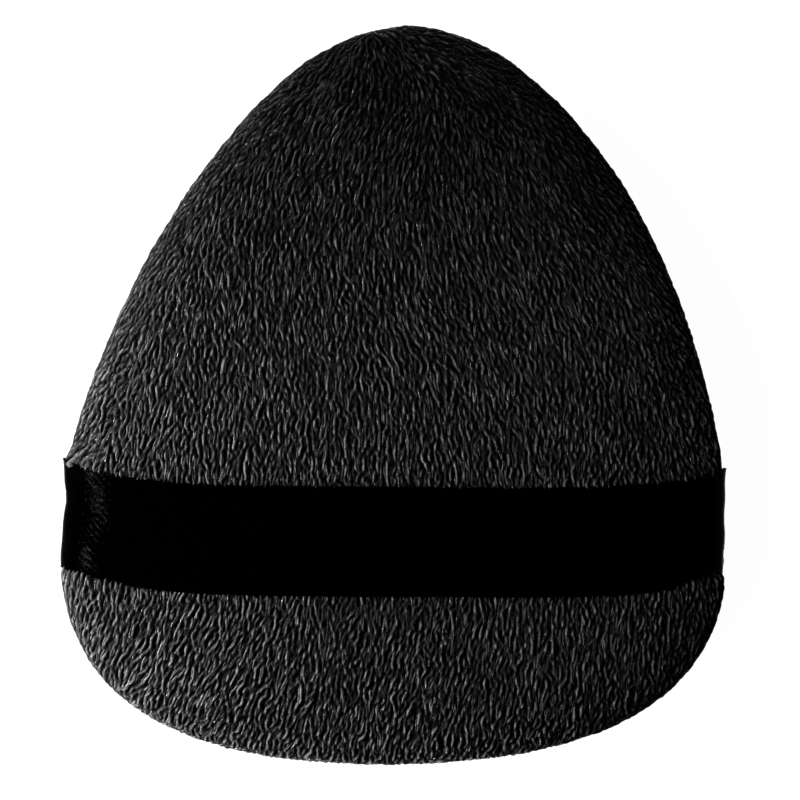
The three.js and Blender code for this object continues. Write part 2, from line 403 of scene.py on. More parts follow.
# %% Points along the ribbon
RIBBON_WIDTH = 12.0 * MM
RIBBON_THICKNESS = 0.35 * MM
RIBBON_FROM_BASE = 25.35 * MM
RIBBON_TILT = 0.02
LEFT_END_RISE = 2.85 * MM
RIGHT_END_RISE = 2.15 * MM
RIBBON_RISE_POWER = 5
RIBBON_BED = 0.8 * MM
RIBBON_FOLD = 1.0 * MM
RIBBON_TAB = 4.0 * MM
SEAM_DEPTH = 1.6 * MM
FIT = 0.25 * MM
ARCH_STEPS = 160
FOLD_STEPS = 10

ribbon_middle = base + RIBBON_FROM_BASE
ribbon_lift = RIBBON_THICKNESS / 2 + FIT - RIBBON_BED
ribbon_side = rim + ribbon_lift
tab_end = rim - SEAM_DEPTH - RIBBON_TAB


def ribbon_rise(x):
    """How much nearer to the tip the ribbon is, at this x."""
    ends = np.where(np.asarray(x) < 0, LEFT_END_RISE, RIGHT_END_RISE)
    return ends * np.minimum(np.abs(x) / ribbon_side, 1.0) ** RIBBON_RISE_POWER - RIBBON_TILT * x


def right_ribbon_line():
    """Across and up, from the right tab to the middle of the crown."""
    line = [(tab_end, SEAM_HEIGHT)]
    shoulder = SEAM_HEIGHT + RIBBON_FOLD
    for step in range(FOLD_STEPS):
        angle = step / FOLD_STEPS * math.pi / 2
        x = ribbon_side + RIBBON_FOLD * (math.sin(angle) - 1)
        line.append((x, shoulder - RIBBON_FOLD * math.cos(angle)))
    for step in range(ARCH_STEPS + 1):
        out, up = dome(step / ARCH_STEPS * math.pi / 2)
        line.append((ribbon_side * out, shoulder + (crown + ribbon_lift - shoulder) * up))
    return np.array(line)


left_end, right_end = (float(ribbon_rise(x)) for x in (-ribbon_side, ribbon_side))
right_line = right_ribbon_line()
ribbon_line = np.vstack((right_line, right_line[-2::-1] * (-1, 1)))
ribbon_run = run_along(ribbon_line)
ribbon_length = float(ribbon_run[-1])
along = np.gradient(ribbon_line, axis=0)
ribbon_out = np.column_stack((along[:, 1], -along[:, 0])) / np.linalg.norm(along, axis=1)[:, None]


def above_ribbon(places):
    """Distance from the ribbon's middle line towards the tip."""
    return places[:, 1] - ribbon_middle - ribbon_rise(places[:, 0])


def over_ribbon_line(places):
    """Height over the ribbon's middle line, and the direction that faces away from the puff there."""
    section = places[:, [0, 2]]
    nearest = np.array([((ribbon_line - p) ** 2).sum(1).argmin() for p in section], dtype=int)
    out = ribbon_out[nearest]
    return ((section - ribbon_line[nearest]) * out).sum(1), out


print("ribbon length in mm", round(ribbon_length / MM, 2))

# %% [markdown]
# ## Stuffing
# The seam and the strip under the ribbon hold the bag back while the foam pushes the rest out. Both are
# pinned in a vertex group, and cloth with pressure and no gravity does the pushing. Cloth behaves best at
# cushion size, so the bag is ten times larger while it is pumped up. A cap keeps every point within the
# swell that the blank left room for, and the table keeps the foot flat.

# %% Press the ribbon's bed into the bag
BED_EDGE = 0.8 * MM
BED_OVER = 0.15 * MM
SEAM_BAND = 1.4 * MM
SEAM_CORE = 0.84 * MM
LEAST_HOLD = 0.01
FLAT_PILE = 0.3 * MM


def under_ribbon(places):
    """1 where the ribbon presses on the cover, 0 clear of it."""
    half = RIBBON_WIDTH / 2
    across = 1 - smooth_step(half - BED_EDGE, half + BED_OVER, np.abs(above_ribbon(places)))
    return across * smooth_step(SEAM_HEIGHT, SEAM_HEIGHT + RIBBON_FOLD, places[:, 2])


places = get_places(bag.data)
pressed = under_ribbon(places)
height, out = over_ribbon_line(places)
down = -(RIBBON_THICKNESS / 2 + FLAT_PILE) - height
places[:, [0, 2]] += out * (down * pressed)[:, None]
set_places(bag.data, places)
seam = 1 - smooth_step(SEAM_CORE, SEAM_BAND, np.abs(places[:, 2] - SEAM_HEIGHT))
held = np.maximum(pressed, seam)
pins = bag.vertex_groups.new(name="held")
for index in np.flatnonzero(held > LEAST_HOLD):
    pins.add([int(index)], float(held[index]), "REPLACE")
print("points held", int((held > LEAST_HOLD).sum()), "of", len(places))

# %% Pump it up
BENCH = 10.0
PUMP_FRAMES = 20
PUMP_PRESSURE = 1.5
FURTHEST = SWELL * 1.2

set_places(bag.data, places * BENCH)
cloth = bag.modifiers.new("stuffing", "CLOTH")
cloth.settings.quality = 6
cloth.settings.mass = 0.3
cloth.settings.tension_stiffness = 15
cloth.settings.compression_stiffness = 15
cloth.settings.bending_stiffness = 2
cloth.settings.vertex_group_mass = "held"
cloth.settings.use_pressure = True
cloth.settings.uniform_pressure_force = PUMP_PRESSURE
cloth.settings.effector_weights.gravity = 0
cloth.point_cache.frame_end = PUMP_FRAMES
for step in range(1, PUMP_FRAMES + 1):
    scene.frame_set(step)
stuffed = get_places(finished_mesh(bag, "stuffed")) / BENCH
bag.modifiers.clear()
scene.frame_set(1)
moved = stuffed - places
far = np.linalg.norm(moved, axis=1)
moved *= (FURTHEST * np.tanh(far / FURTHEST) / np.maximum(far, 1e-9))[:, None]
places += moved
places[:, 2] = np.maximum(places[:, 2], FOOT_HEIGHT)
set_places(bag.data, places)
print("pumped by mm", np.round(np.percentile(far, (50, 90, 100)) / MM, 2))

# %% Bring the edge back to the outline
EDGE_PILE = 0.2 * MM
BASE_PILE = 0.7 * MM
BASE_FADE = 12 * MM
EDGE_FROM, EDGE_FULL = 0.55, 0.97
EDGE_SECTORS = 180
SECTORS_SHARED = 2
TRIMS = 2

line_angle = np.arctan2(cut_line[:, 1] - centre[1], cut_line[:, 0] - centre[0])
line_radius = np.linalg.norm(cut_line - centre, axis=1)
line_order = np.argsort(line_angle)


def round_the_crown(places):
    """Angle and distance from the crown, and the outline's distance at that angle, without the lean."""
    flat = places[:, :2] - np.column_stack((lean(places[:, 1]), np.zeros(len(places)))) - centre
    angle = np.arctan2(flat[:, 1], flat[:, 0])
    reach = np.interp(angle, line_angle[line_order], line_radius[line_order], period=2 * math.pi)
    return angle, np.linalg.norm(flat, axis=1), reach


def trim_edge(places):
    """Moves the edge in or out until the pile has its room inside the outline."""
    angle, radius, reach = round_the_crown(places)
    room = BASE_PILE + (EDGE_PILE - BASE_PILE) * smooth_step(base, base + BASE_FADE, places[:, 1])
    sector = np.floor((angle / math.pi + 1) / 2 * EDGE_SECTORS).astype(int) % EDGE_SECTORS
    excess = np.full(EDGE_SECTORS, -np.inf)
    np.maximum.at(excess, sector, radius + room - reach)
    neighbours = range(-SECTORS_SHARED, SECTORS_SHARED + 1)
    excess = np.array([np.roll(excess, k) for k in neighbours]).mean(0)
    near_edge = smooth_step(EDGE_FROM, EDGE_FULL, radius / reach)
    outwards = np.column_stack((places[:, :2] - centre, np.zeros(len(places))))
    outwards /= np.maximum(np.linalg.norm(outwards, axis=1), 1e-6)[:, None]
    print("edge is out by mm", round(excess.min() / MM, 2), "to", round(excess.max() / MM, 2))
    return places - outwards * (excess[sector] * near_edge * (1 - under_ribbon(places)))[:, None]


places = get_places(bag.data)
for _ in range(TRIMS):
    places = trim_edge(places)
set_places(bag.data, places)

# %% Round the faces and draw in the seam
ROUNDING = 1

round_off = bag.modifiers.new("round_off", "SUBSURF")
round_off.levels = ROUNDING
round_off.render_levels = ROUNDING
swap_mesh(bag, finished_mesh(bag, "bag"))
places = get_places(bag.data)
groove = np.clip(1 - np.abs(places[:, 2] - SEAM_HEIGHT) / (SEAM_ROUND + SEAM_GAP / 2), 0, 1)
draw = SEAM_DEPTH * (1 - np.sqrt(1 - groove ** 2))
inwards = np.column_stack((centre - places[:, :2], np.zeros(len(places))))
inwards /= np.linalg.norm(inwards, axis=1)[:, None]
places += inwards * draw[:, None]
set_places(bag.data, places)
print("bag box in mm", np.round(places.min(0) / MM, 2), np.round(places.max(0) / MM, 2))

# %% [markdown]
# ## Velour panels
# The stuffed bag is cut at the seam into the two panels. Each one gets its seam allowance, a flat hem turned
# inwards, and the thickness of knitted backing. The standing pile is a piece of its own, further down.

# %% Cut the panels
ALLOWANCE_PAST_RIBBON = 1.6 * MM
BACKING_THICKNESS = 0.9 * MM
hem_scale = (rim - SEAM_DEPTH - RIBBON_TAB - ALLOWANCE_PAST_RIBBON) / (rim - SEAM_DEPTH)


def put_in_order(mesh):
    """Numbers vertices and faces by their place, because the cut leaves another order on each run."""
    places = get_places(mesh)
    order = np.lexsort(places.T)
    rank = np.argsort(order)
    faces = []
    for face in mesh.polygons:
        corners = rank[list(face.vertices)].tolist()
        first = corners.index(min(corners))
        faces.append(corners[first:] + corners[:first])
    mesh.clear_geometry()
    mesh.from_pydata(places[order].tolist(), [], sorted(faces))


def cut_panel(name, height, keep_above):
    """One half of the bag, cut level at the seam, with its hem turned in."""
    bm = bmesh.new()
    bm.from_mesh(bag.data)
    everything = [*bm.verts, *bm.edges, *bm.faces]
    bmesh.ops.bisect_plane(
        bm, geom=everything, plane_co=(0, 0, height), plane_no=(0, 0, 1),
        clear_inner=keep_above, clear_outer=not keep_above)
    edge = [e for e in bm.edges if e.is_boundary]
    hem = bmesh.ops.extrude_edge_only(bm, edges=edge)["geom"]
    middle = Vector((centre[0], centre[1], height))
    for vertex in hem:
        if isinstance(vertex, bmesh.types.BMVert):
            vertex.co = middle + (vertex.co - middle) * hem_scale
    bmesh.ops.recalc_face_normals(bm, faces=bm.faces)
    bm.normal_update()
    outwards = sum((f.calc_center_median() - middle).dot(f.normal) for f in bm.faces)
    if outwards < 0:
        bmesh.ops.reverse_faces(bm, faces=bm.faces)
    mesh = bpy.data.meshes.new(name)
    bm.to_mesh(mesh)
    bm.free()
    put_in_order(mesh)
    mesh.shade_smooth()
    panel = bpy.data.objects.new(name, mesh)
    scene.collection.objects.link(panel)
    backing = panel.modifiers.new("backing", "SOLIDIFY")
    backing.thickness = BACKING_THICKNESS
    backing.offset = -1
    print(name, "faces", len(mesh.polygons))
    return panel


ribbon_panel = cut_panel("ribbon_side_velour", SEAM_HEIGHT + SEAM_GAP / 2, True)
powder_panel = cut_panel("powder_side_velour", SEAM_HEIGHT - SEAM_GAP / 2, False)
bpy.data.objects.remove(bag)

# %% [markdown]
# ## Nap
# Velour is combed: its tufts lie in one direction, the nap. On this puff they fan out from the tip, follow
# the upper edges for a few millimetres, and run down to the base in slow waves, with a few swirls where a
# hand has stroked it. One function gives that direction for any place, and all the pile below follows it.

# %% Direction of the pile
FAN = np.array((-2.0, 43.0)) * MM
FAN_REACH = 13.0 * MM
FAN_EVERYWHERE = 0.12
EDGE_REACH = 5.0 * MM
EDGE_AT_BASE = 0.25
EDGE_RISE = (-22 * MM, 2 * MM)
BASE_TURN_DEGREES = 8
BASE_TURN_RISE = (-26 * MM, -18 * MM)
WAVE_LENGTH = 22.0 * MM
WAVE_DEGREES = 12.0
SWIRLS_MM_AND_DEGREES = (
    (1.7, 30.0, -26.0, 6.5),
    (-7.0, 25.0, -14.0, 8.0),
    (3.5, 9.5, 13.0, 10.0),
    (-25.0, -31.0, -18.0, 12.0),
    (20.0, 20.0, 8.0, 9.0),
    (-35.0, -6.0, -30.0, 3.0),
)


def from_edge(places):
    """Distance from the puff's outline, seen from above."""
    _, radius, reach = round_the_crown(places)
    return np.maximum(reach - radius, 0.0)


def waves(places, length, seed):
    """Smooth noise between about -1 and 1, with hills about this far apart."""
    return np.array([noise.noise(p) for p in (places / length + seed).tolist()])


def turned(direction, degrees):
    angle = np.radians(degrees)
    x, y = direction[:, 0], direction[:, 1]
    return np.column_stack((x * np.cos(angle) - y * np.sin(angle), x * np.sin(angle) + y * np.cos(angle)))


def nap(places, seed):
    """Direction of the pile, seen from above, as unit vectors."""
    away = places[:, :2] - FAN
    far = np.linalg.norm(away, axis=1)
    away /= np.maximum(far, 1e-6)[:, None]
    near_tip = np.exp(-(far / FAN_REACH) ** 2)
    along_edge = EDGE_AT_BASE + (1 - EDGE_AT_BASE) * smooth_step(*EDGE_RISE, places[:, 1])
    near_edge = np.exp(-from_edge(places) / EDGE_REACH) * along_edge
    weight = np.clip(FAN_EVERYWHERE + near_tip + near_edge, 0, 1)[:, None]
    direction = away * weight + np.array((0.0, -1.0)) * (1 - weight)
    below = 1 - smooth_step(*BASE_TURN_RISE, places[:, 1])
    degrees = WAVE_DEGREES * waves(places * (1, 1, 0), WAVE_LENGTH, seed) - BASE_TURN_DEGREES * below
    for x, y, turn, reach in SWIRLS_MM_AND_DEGREES:
        gap = (places[:, 0] / MM - x) ** 2 + (places[:, 1] / MM - y) ** 2
        degrees += turn * np.exp(-gap / reach ** 2)
    direction = turned(direction, degrees)
    return direction / np.maximum(np.linalg.norm(direction, axis=1), 1e-6)[:, None]


print("nap at the middle of the face", np.round(nap(np.array(((0.0, 0.0, crown),)), 0.0), 2))

# %% [markdown]
# ## Combed pile
# Combing lays the fibres of velour down in ridges less than a millimetre apart, and light from the side
# shows every one. Hair particles could make the fibres, but they are lost in an exported mesh. Here the
# outer faces of a panel are divided until they are finer than a ridge, and raised by noise that is drawn out
# along the nap, so that the ridges wave, split and join as combed pile does. Under the ribbon the pile is
# pressed flat, and on the powder side the table does that.

# %% Draw noise out along the nap
SEAM_PULL = 0.3
CURL_LENGTH = 1.2 * MM
CURL_DEGREES = 30.0
RIDGE = 0.38 * MM
VALLEY = 0.29 * MM
DRAW_STEP = 0.115 * MM
DRAW_STEPS = 3


def over_surface(directions, normals, towards_seam):
    """Directions seen from above, laid into the surface, with a pull to the seam where it is steep."""
    full = np.column_stack((directions, SEAM_PULL * towards_seam * (1 - np.abs(normals[:, 2]))))
    full -= normals * (full * normals).sum(1)[:, None]
    return full / np.maximum(np.linalg.norm(full, axis=1), 1e-9)[:, None]


def lying_nap(places, normals, towards_seam, seed):
    """The nap with its fine curl, laid into the surface."""
    curl = CURL_DEGREES * waves(places, CURL_LENGTH, seed + 7)
    return over_surface(turned(nap(places, seed), curl), normals, towards_seam)


def drawn_out(places, along, across, seed):
    """Noise drawn out along the nap, less what lies a valley to each side, with a spread of about 1."""
    total = np.zeros(len(places))
    for step in range(-DRAW_STEPS, DRAW_STEPS + 1):
        weight = math.cos(step / (DRAW_STEPS + 1) * math.pi / 2)
        ahead = places + along * (step * DRAW_STEP)
        for aside, share in ((0.0, 1.0), (VALLEY, -0.5), (-VALLEY, -0.5)):
            total += weight * share * waves(ahead + across * aside, RIDGE, seed + 3)
    return total / total.std()


# %% [markdown]
# ## Puckers
# Where the ribbon's left end goes into the seam, its stitches gather the velour at the upper corner into a
# few short folds. Cloth could be simulated there, but folds of a millimetre are easier to draw: as waves in
# the ridges, and as a pull on the pile towards the corner.

# %% Puckers at the ribbon's left corner
PUCKER_REACH = np.array((2.6, 1.5)) * MM
PUCKER_PITCH = 1.0 * MM
PUCKER_PULL = np.array((0.9, 0.4)) * MM
PUCKER_RIDGE = 0.9
FOLD_SHARPNESS = 1.5

corner = np.array((-ribbon_side, ribbon_middle + left_end + RIBBON_WIDTH / 2))


def puckers(places):
    """How near the corner is, and the folds that run from it up to the right, both from 0 to 1."""
    away = places[:, :2] - corner
    near = np.exp(-((away / PUCKER_REACH) ** 2).sum(1)) * (places[:, 2] > SEAM_HEIGHT)
    aside = (away[:, 0] - away[:, 1]) / math.sqrt(2)
    return near, np.maximum(np.cos(aside / PUCKER_PITCH * math.tau), 0.0) ** FOLD_SHARPNESS


# %% [markdown]
# ## Relief of the pile
# The ridges are raised from a copy of the panel's outer faces, which Subdivision Surface divides. They are
# lower where the puff turns to its edge, so that the outline stays even. Every vertex also keeps how high
# its ridge is, because the pile's colour is painted lighter on the ridges and darker in the valleys, and
# darker towards the tip, as painted shade.

# %% Raise the ridges
PILE_DIVISIONS = 2
PILE_ROOT = 0.06 * MM
PILE_HEIGHT = 0.5 * MM
PRESSED_PILE = 0.1 * MM
PRESSED_SHARE = 0.85
# How much darker the pile's colour is painted under the ribbon, as painted shade.
PRESSED_SHADE = 0.3
RIDGE_MIDDLE, RIDGE_SPREAD, RIDGE_TOP = 0.5, 0.3, 1.15
EDGE_RIDGES = 0.3
# How much darker the pile's colour is painted towards the tip, as painted shade.
TIP_SHADE = 0.36
MAP_STRETCH = 2
MAP_HALF = 0.49


def outer_faces(panel, name, level):
    """A finely divided copy of a panel's outer faces, without the hem at this level."""
    bm = bmesh.new()
    bm.from_mesh(panel.data)
    hem = [f for f in bm.faces if abs(f.calc_center_median().z - level) < 0.01 * MM]
    bmesh.ops.delete(bm, geom=hem, context="FACES")
    mesh = bpy.data.meshes.new(name)
    bm.to_mesh(mesh)
    bm.free()
    piece = bpy.data.objects.new(name, mesh)
    scene.collection.objects.link(piece)
    divide = piece.modifiers.new("divide", "SUBSURF")
    divide.levels = PILE_DIVISIONS
    divide.render_levels = PILE_DIVISIONS
    swap_mesh(piece, finished_mesh(piece, name))
    return piece


def get_normals(mesh):
    normals = np.empty(len(mesh.vertices) * 3, dtype=np.float32)
    mesh.vertices.foreach_get("normal", normals)
    return normals.reshape(-1, 3).astype(float)


def add_values(mesh, name, values):
    """Keeps a number for every vertex, for the material to read."""
    kept = mesh.attributes.new(name, "FLOAT", "POINT")
    kept.data.foreach_set("value", np.asarray(values, dtype=np.float32).ravel())


def spread_flat(mesh, places):
    """A map of the pile, pushed outwards from the crown so that the steep edge has room."""
    flat = places[:, :2] - centre
    radius = np.linalg.norm(flat, axis=1)
    top = places[:, 2].max() if places[:, 2].mean() > SEAM_HEIGHT else places[:, 2].min()
    room = radius + MAP_STRETCH * np.abs(places[:, 2] - top)
    pushed = flat * (room / np.maximum(radius, 1e-6))[:, None]
    uv = 0.5 + MAP_HALF * pushed / np.abs(pushed).max()
    corners = np.empty(len(mesh.loops), dtype=np.int32)
    mesh.loops.foreach_get("vertex_index", corners)
    layer = mesh.uv_layers.new(name="OFBake")
    layer.uv.foreach_set("vector", uv[corners].astype(np.float32).ravel())


def painted_tip_shade(y):
    """Painted shade: the pile's colour darkens towards the tip."""
    return 1 - TIP_SHADE * smooth_step(0.0, LENGTH / 2, y)


def raise_pile(name, panel, towards_seam, flat, seed):
    """The combed pile of one panel. flat says where it is pressed down, from 0 to 1."""
    piece = outer_faces(panel, name, SEAM_HEIGHT - towards_seam * SEAM_GAP / 2)
    places, normals = get_places(piece.data), get_normals(piece.data)
    along = lying_nap(places, normals, towards_seam, seed)
    across = np.cross(normals, along)
    noise_drawn = drawn_out(places, along, across, seed)
    ridges = np.clip(RIDGE_MIDDLE + RIDGE_SPREAD * noise_drawn, 0.0, RIDGE_TOP)
    near, folds = puckers(places)
    # The fold lines are lowered, and their colour is painted black, as painted shade in the creases.
    ridges += near * (PUCKER_RIDGE * (1 - folds) - ridges)
    spread_flat(piece.data, places)
    pressed = flat(places)
    standing = 1 - PRESSED_SHARE * pressed
    # Painted shade: the colour is darker in the valleys, under the ribbon and towards the tip.
    add_values(piece.data, "painted_shade_and_tone", ridges * (1 - PRESSED_SHADE * pressed) * painted_tip_shade(places[:, 1]))
    facing_up = EDGE_RIDGES + (1 - EDGE_RIDGES) * np.abs(normals[:, 2])
    even = RIDGE_MIDDLE + (ridges - RIDGE_MIDDLE) * facing_up
    places += normals * (PILE_ROOT + PILE_HEIGHT * even * standing)[:, None]
    places[:, 2] = np.maximum(places[:, 2], PRESSED_PILE)
    places[:, :2] -= (near ** 2)[:, None] * PUCKER_PULL
    set_places(piece.data, places)
    piece.data.shade_smooth()
    print(name, "faces", len(piece.data.polygons))
    return piece


def nowhere(places):
    return np.zeros(len(places))


ribbon_pile = raise_pile("ribbon_side_pile", ribbon_panel, -1, under_ribbon, 11)
powder_pile = raise_pile("powder_side_pile", powder_panel, 1, nowhere, 23)

# %% [markdown]
# ## One loose tuft
# The ridges alone would look moulded. On real velour some fibres cling together in tufts that lie loose on
# the combed pile. A tuft could be a curve with a bevel, but a triangle with its point up, extruded along the
# tuft and merged at its tip, has fewer faces, and there are thousands of copies. The map unrolls its sides
# next to each other.

# %% Model the tuft
TUFT_SIDES = 3
TUFT_RINGS = 5


def model_tuft():
    bm = bmesh.new()
    unrolled = bm.loops.layers.uv.new("OFBake")
    foot = bmesh.ops.create_circle(bm, cap_ends=True, segments=TUFT_SIDES, radius=1.0)["verts"]
    top = foot[0].link_faces[0]
    for step in range(1, TUFT_RINGS + 1):
        made = bmesh.ops.extrude_face_region(bm, geom=[top], use_keep_orig=step == 1)["geom"]
        top = next(f for f in made if isinstance(f, bmesh.types.BMFace))
        for vertex in top.verts:
            vertex.co.z = step
    bmesh.ops.pointmerge(bm, verts=top.verts, merge_co=(0, 0, TUFT_RINGS))
    bmesh.ops.recalc_face_normals(bm, faces=bm.faces)
    for face in bm.faces:
        unroll(face, unrolled)
    mesh = bpy.data.meshes.new("tuft")
    bm.to_mesh(mesh)
    bm.free()
    return mesh


def unroll(face, layer):
    """Lays one face of a tuft on the map: along its length, and round it."""
    corners = [loop.vert.co.copy() for loop in face.loops]
    turns = [math.atan2(c.y, c.x) / math.tau % 1.0 if c.xy.length > 0.5 else None for c in corners]
    known = [t for t in turns if t is not None]
    if max(known) - min(known) > 0.5:
        turns = [t + 1.0 if t is not None and t < 0.4 else t for t in turns]
        known = [t for t in turns if t is not None]
    is_foot = all(c.z == 0 for c in corners)
    for loop, corner, turn in zip(face.loops, corners, turns):
        v = sum(known) / len(known) if turn is None else turn
        loop[layer].uv = (-0.5 + 0.3 * corner.x, 0.7 + 0.3 * corner.y) if is_foot else (corner.z, v)


tuft_mesh = model_tuft()
tuft_places = get_places(tuft_mesh)
tuft_ring = np.rint(tuft_places[:, 2]).astype(int)
tuft_triangles = sum(len(p.vertices) - 2 for p in tuft_mesh.polygons)
print("tuft faces", len(tuft_mesh.polygons), "triangles", tuft_triangles)

# %% [markdown]
# ## Planting the tufts
# Roots are chosen from random places on the panel, and a place too near a root that is already there, or too
# near the outline, is passed over. The room asked for is narrow across the nap and long along it, which combs
# the roots into streaks. From its root a tuft then creeps over the panel, turning with the nap and with the
# fine curl of the ridges. Tufts that start under the ribbon stay below it, tips that reach its upper edge
# lie on it, and on the powder side the table presses them flat.

# %% Choose the roots
ROOM_ACROSS = 0.45 * MM
ROOM_ALONG = 1.5 * MM
TRIES_PER_FACE = 4
EDGE_ROOM = 1.2 * MM
HEM_THICKNESS = 0.05 * MM


def random_places(mesh, count, random):
    """Places spread evenly over a mesh, with the way out."""
    mesh.calc_loop_triangles()
    corners = np.empty(len(mesh.loop_triangles) * 3, dtype=np.int32)
    mesh.loop_triangles.foreach_get("vertices", corners)
    triangles = get_places(mesh)[corners.reshape(-1, 3)]
    a, b, c = triangles[:, 0], triangles[:, 1], triangles[:, 2]
    normals = np.cross(b - a, c - a)
    area = np.linalg.norm(normals, axis=1)
    pick = random.choice(len(area), count, p=area / area.sum())
    u, v = random.random((2, count, 1))
    folded = u + v > 1
    u, v = np.where(folded, 1 - u, u), np.where(folded, 1 - v, v)
    places = a[pick] + u * (b - a)[pick] + v * (c - a)[pick]
    return places, normals[pick] / area[pick][:, None]


def choose_roots(mesh, towards_seam, bare, seed):
    random = np.random.default_rng(seed)
    places, normals = random_places(mesh, TRIES_PER_FACE * len(mesh.polygons), random)
    grows = ~((bare(places) > 0) | inside_hem(places) | (from_edge(places) < EDGE_ROOM))
    places, normals = places[grows], normals[grows]
    along = over_surface(nap(places, seed), normals, towards_seam)
    cells = np.floor(places / ROOM_ALONG).astype(int)
    steps = [(i, j, k) for i in (-1, 0, 1) for j in (-1, 0, 1) for k in (-1, 0, 1)]
    taken = {}
    roots = []
    for index, (place, direction, cell) in enumerate(zip(places, along, cells)):
        near = [r for i, j, k in steps for r in taken.get((cell[0] + i, cell[1] + j, cell[2] + k), ())]
        gap = places[near] - place
        length = gap @ direction
        across = (gap * gap).sum(1) - length ** 2
        if ((length / ROOM_ALONG) ** 2 + across / ROOM_ACROSS ** 2 < 1).any():
            continue
        taken.setdefault(tuple(cell), []).append(index)
        roots.append(index)
    return places[roots], normals[roots]


def inside_hem(places):
    """The turned-in hem carries no pile that shows."""
    level = np.abs(np.abs(places[:, 2] - SEAM_HEIGHT) - SEAM_GAP / 2) < HEM_THICKNESS
    return level & (from_edge(places) > SEAM_DEPTH)


# %% Let the tufts creep over the panel
TUFT_LENGTH = 2.0 * MM
TUFT_WIDTH = 0.2 * MM
TUFT_HEIGHT = 0.14 * MM
TUFT_VARIETY = (0.75, 1.25)
TUFT_SLANT = (-0.4, 0.4)
TUFT_SHADES = (0.3, 1.0)
LIFT_VARIETY_MM = (-0.1, 0.08)
LIFT_AT_EDGE = 0.4
CELL_MARGIN = 0.1
TUFT_PROFILE = np.array((0.5, 0.9, 1.0, 0.9, 0.6, 0.0))
LIFT_PROFILE = np.array((0.0, 0.22, 0.34, 0.38, 0.36, 0.3)) * MM


def comb(tree, roots, normals, towards_seam, stop, settle, random, seed):
    """Stations of every tuft, with the direction across it and the direction away from the panel."""
    count = len(roots)
    length = np.minimum(TUFT_LENGTH * random.uniform(*TUFT_VARIETY, count), stop(roots))
    lift = random.uniform(*LIFT_VARIETY_MM, count) * MM
    place, normal = roots.copy(), normals.copy()
    stations, sides, ups = [], [], []
    for ring in range(TUFT_RINGS + 1):
        along = lying_nap(place, normal, towards_seam, seed)
        facing_up = LIFT_AT_EDGE + (1 - LIFT_AT_EDGE) * np.abs(normal[:, 2])
        raised = (lift + LIFT_PROFILE[ring]) * facing_up
        stations.append(settle(place + normal * raised[:, None], roots))
        sides.append(np.cross(normal, along))
        ups.append(normal)
        ahead = place + along * (length / TUFT_RINGS)[:, None]
        found = [tree.find_nearest(Vector(p)) for p in ahead]
        place = np.array([f[0] for f in found])
        normal = np.array([f[1] for f in found])
    return np.stack(stations, 1), np.stack(sides, 1), np.stack(ups, 1)


def spread_map(mesh, count):
    """Gives every tuft its own cell of the map."""
    layer = mesh.uv_layers["OFBake"].uv
    places = np.empty(len(layer) * 2, dtype=np.float32)
    layer.foreach_get("vector", places)
    places = places.reshape(count, -1, 2)
    columns = math.ceil(math.sqrt(count))
    cell = np.stack((np.arange(count) % columns, np.arange(count) // columns), 1)[:, None, :]
    low, high = places.reshape(-1, 2).min(0), places.reshape(-1, 2).max(0)
    places = (cell + CELL_MARGIN + (1 - 2 * CELL_MARGIN) * (places - low) / (high - low)) / columns
    layer.foreach_set("vector", places.astype(np.float32).ravel())


def plant(name, stations, sides, ups, random):
    """Copies of the tuft, laid along their stations."""
    count = len(stations)
    bm = bmesh.new()
    for _ in range(count):
        bm.from_mesh(tuft_mesh)
    mesh = bpy.data.meshes.new(name)
    bm.to_mesh(mesh)
    bm.free()
    width = TUFT_WIDTH / math.sqrt(3) * random.uniform(*TUFT_VARIETY, (count, 1))
    height = TUFT_HEIGHT / 1.5 * random.uniform(*TUFT_VARIETY, (count, 1))
    girth = TUFT_PROFILE[tuft_ring]
    up = height * girth * (tuft_places[:, 1] + 0.5)
    across = width * girth * tuft_places[:, 0] + up * random.uniform(*TUFT_SLANT, (count, 1))
    middle, side, away = (laid[:, tuft_ring] for laid in (stations, sides, ups))
    set_places(mesh, (middle + side * across[:, :, None] + away * up[:, :, None]).reshape(-1, 3))
    # The tufts get the same painted shade towards the tip, on top of their own random tone.
    shade = random.uniform(*TUFT_SHADES, count) * painted_tip_shade(stations[:, 0, 1])
    add_values(mesh, "painted_shade_and_tone", np.repeat(shade, len(tuft_ring)))
    spread_map(mesh, count)
    mesh.shade_smooth()
    piece = bpy.data.objects.new(name, mesh)
    scene.collection.objects.link(piece)
    print(name, count, "tufts,", count * tuft_triangles, "triangles")
    return piece


# %% Plant both panels
PUCKER_BARE = 0.3
UPPER_MARGIN = 0.2 * MM
LOWER_TUCK = 1.3 * MM
TIP_OVERLAP = 0.08 * MM
TIP_OVER_RIBBON = 0.1 * MM


def ribbon_strip(places):
    """Where no tuft starts: on the puckers, and from above the ribbon to a little inside its lower edge."""
    above = above_ribbon(places)
    across = (above < RIBBON_WIDTH / 2 + UPPER_MARGIN) & (above > LOWER_TUCK - RIBBON_WIDTH / 2)
    return (across & (places[:, 2] > SEAM_HEIGHT)) | (puckers(places)[0] > PUCKER_BARE)


def room_before_ribbon(places):
    """How far a tuft may reach: a little over the ribbon's upper edge."""
    above = above_ribbon(places) - RIBBON_WIDTH / 2
    return np.where(above > 0, above + TIP_OVERLAP, 1.0)


